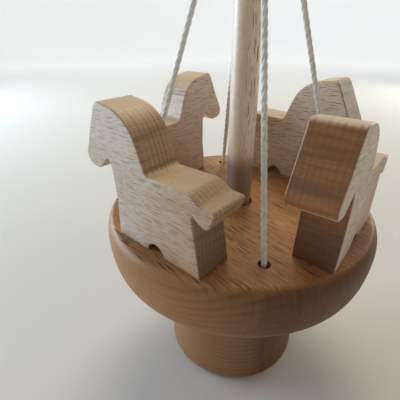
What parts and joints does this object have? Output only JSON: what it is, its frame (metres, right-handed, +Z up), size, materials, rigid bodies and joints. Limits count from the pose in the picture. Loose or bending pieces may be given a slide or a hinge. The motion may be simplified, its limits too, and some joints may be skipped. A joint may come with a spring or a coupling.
{
  "type": "carousel music box",
  "caption": "Wind-up carousel music box: a round beech platform with horses hangs on cords from a turning post, above a drum that holds the musical movement.",
  "frame": {"origin": "centre of the felt's underside, on the carousel's axis", "axes": "+Z up along the post; horse_1 stands on the -Y side and heads towards -X"},
  "size_m": [0.108, 0.108, 0.1949],
  "materials": {
    "drum_beech": "turned and sanded, bare",
    "platform_beech": "turned and sanded, bare",
    "horse_beech": "sawn, edges lightly sanded, bare",
    "dowel_beech": "milled dowel, bare",
    "cotton_cord": "twisted, undyed",
    "felt": "pressed felt",
    "brass": "satin",
    "steel": "satin",
    "zinc_casting": "bare die casting"
  },
  "bodies": {
    "base": {"base_drum": "drum_beech", "bottom_plate": "drum_beech", "bottom_screws": "brass", "felt_pad": "felt", "arbor_bush": "brass", "thrust_washer": "steel", "movement_frame": "zinc_casting", "movement_screws": "steel", "spring_barrel": "brass", "mainspring": "steel", "comb": "steel", "comb_screws": "steel", "governor_bracket": "zinc_casting", "governor_screws": "steel"},
    "carousel": {"winding_arbor": "steel", "arbor_clip": "steel", "drive_gear": "brass", "post": "dowel_beech", "platform": "platform_beech", "horse_dowels": "dowel_beech", "horse_1": "horse_beech", "horse_2": "horse_beech", "horse_3": "horse_beech", "horse_4": "horse_beech", "cord_1": "cotton_cord", "cord_2": "cotton_cord", "cord_3": "cotton_cord", "cord_4": "cotton_cord", "platform_knots": "cotton_cord", "cap_knots": "cotton_cord", "top_cap": "platform_beech", "finial": "platform_beech"},
    "cylinder": {"music_cylinder": "brass", "cylinder_shaft": "steel", "cylinder_pinion": "brass", "cylinder_gear": "brass"},
    "idler": {"idler_arbor": "steel", "idler_pinion": "steel", "worm_wheel": "brass"},
    "fly": {"fly_shaft": "steel", "governor_worm": "steel", "fly_vane": "brass"}
  },
  "joints": [
    {"name": "carousel_spin", "type": "hinge", "parent": "base", "child": "carousel", "pos_m": [0, 0, 0.06], "axis": [0, 0, 1], "continuous": true},
    {"name": "cylinder_spin", "type": "hinge", "parent": "base", "child": "cylinder", "pos_m": [0, 0, 0.02405], "axis": [1, 0, 0], "continuous": true},
    {"name": "idler_spin", "type": "hinge", "parent": "base", "child": "idler", "pos_m": [0, 0.00804, 0.0173], "axis": [1, 0, 0], "continuous": true},
    {"name": "fly_spin", "type": "hinge", "parent": "base", "child": "fly", "pos_m": [-0.0106, 0.01454, 0.02], "axis": [0, 0, 1], "continuous": true}
  ],
  "couplings": [
    {"joint": "cylinder_spin", "follows": "carousel_spin", "ratio": -1.5},
    {"joint": "idler_spin", "follows": "carousel_spin", "ratio": 4.8},
    {"joint": "fly_spin", "follows": "carousel_spin", "ratio": -120}
  ]
}
